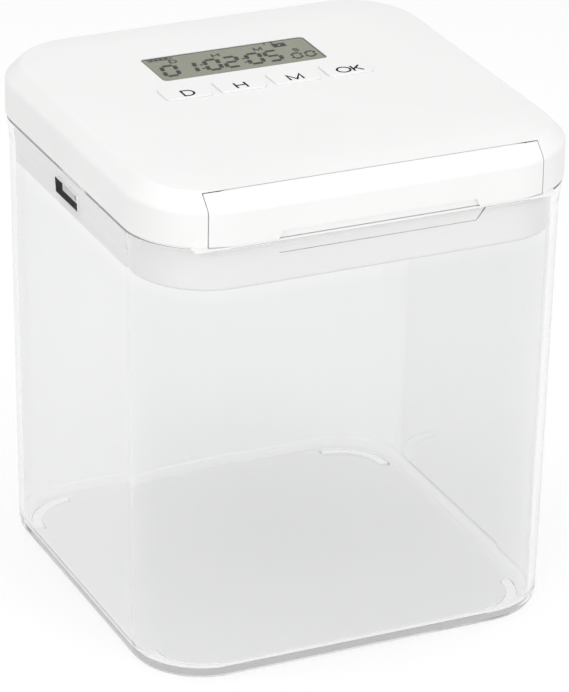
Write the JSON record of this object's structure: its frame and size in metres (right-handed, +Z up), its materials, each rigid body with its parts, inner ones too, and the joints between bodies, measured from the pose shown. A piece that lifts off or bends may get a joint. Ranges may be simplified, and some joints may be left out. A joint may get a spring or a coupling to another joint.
{
  "type": "timed lock container",
  "caption": "Clear rounded-square storage tub under a white lid with a timer display, setting keys, a front pull flap and motor-driven bolts that lock the lid to the tub.",
  "frame": {"origin": "under the middle of the tub, on the plane of its feet", "axes": "+Z up; -Y towards the front, where the lid's pull flap is; +X to the right of someone facing the front"},
  "size_m": [0.14, 0.14, 0.1606],
  "materials": {
    "clear_plastic": "clear",
    "white_plastic": "satin",
    "key_plastic": "satin",
    "bolt_plastic": "satin",
    "inner_plastic": "satin",
    "dark_plastic": "satin",
    "stem_plastic": "gloss",
    "display_window": "clear",
    "display_cell": "gloss",
    "rubber_strip": "matte",
    "circuit_board": "gloss",
    "steel": "brushed",
    "brass": "machined",
    "cell_jacket": "gloss",
    "wire_jacket": "satin"
  },
  "bodies": {
    "tub": {"container": "clear_plastic"},
    "lid": {"lid_base": "white_plastic", "lid_cover": "white_plastic", "flap_pins": "steel", "display_lens": "display_window", "display_glass": "display_cell", "display_holder": "inner_plastic", "display_connector": "rubber_strip", "main_board": "circuit_board", "switch_bodies": "dark_plastic", "controller_chip": "dark_plastic", "buzzer": "dark_plastic", "board_screws": "steel", "gearbox": "brass", "motor_can": "steel", "motor_bracket": "dark_plastic", "bracket_screws": "steel", "bolt_guide_left": "dark_plastic", "bolt_guide_right": "dark_plastic", "limit_switch": "dark_plastic", "battery_cells": "cell_jacket", "battery_contacts": "steel", "battery_springs": "steel", "battery_door": "white_plastic", "battery_door_screw": "steel", "base_screws": "steel", "motor_leads": "wire_jacket", "battery_leads": "wire_jacket"},
    "flap": {"front_flap": "white_plastic"},
    "drive": {"drive_shaft": "steel", "drive_pinion": "brass"},
    "bolt_left": {"lock_bolt_left": "bolt_plastic"},
    "bolt_right": {"lock_bolt_right": "bolt_plastic"},
    "key_days": {"key_days": "key_plastic", "stem_days": "stem_plastic"},
    "key_hours": {"key_hours": "key_plastic", "stem_hours": "stem_plastic"},
    "key_minutes": {"key_minutes": "key_plastic", "stem_minutes": "stem_plastic"},
    "key_ok": {"key_ok": "key_plastic", "stem_ok": "stem_plastic"}
  },
  "joints": [
    {"name": "lid_lift", "type": "slide", "parent": "tub", "child": "lid", "axis": [0, 0, 1], "range_m": [0, 0.06]},
    {"name": "flap_hinge", "type": "hinge", "parent": "lid", "child": "flap", "pos_m": [0, -0.066, 0.1542], "axis": [-1, 0, 0], "range_deg": [0, 55]},
    {"name": "drive_turn", "type": "hinge", "parent": "lid", "child": "drive", "pos_m": [0, 0, 0.1385], "axis": [0, -1, 0], "range_deg": [0, 31.1]},
    {"name": "bolt_left_slide", "type": "slide", "parent": "lid", "child": "bolt_left", "axis": [-1, 0, 0], "range_m": [0, 0.0026]},
    {"name": "bolt_right_slide", "type": "slide", "parent": "lid", "child": "bolt_right", "axis": [1, 0, 0], "range_m": [0, 0.0026]},
    {"name": "key_days_press", "type": "slide", "parent": "lid", "child": "key_days", "axis": [0, 0, -1], "range_m": [0, 0.0006], "stiffness_N_per_m": 1500},
    {"name": "key_hours_press", "type": "slide", "parent": "lid", "child": "key_hours", "axis": [0, 0, -1], "range_m": [0, 0.0006], "stiffness_N_per_m": 1500},
    {"name": "key_minutes_press", "type": "slide", "parent": "lid", "child": "key_minutes", "axis": [0, 0, -1], "range_m": [0, 0.0006], "stiffness_N_per_m": 1500},
    {"name": "key_ok_press", "type": "slide", "parent": "lid", "child": "key_ok", "axis": [0, 0, -1], "range_m": [0, 0.0006], "stiffness_N_per_m": 1500}
  ],
  "couplings": [
    {"joint": "drive_turn", "follows": "bolt_left_slide", "rad_per_m": 208.33},
    {"joint": "bolt_right_slide", "follows": "bolt_left_slide", "ratio": 1}
  ]
}
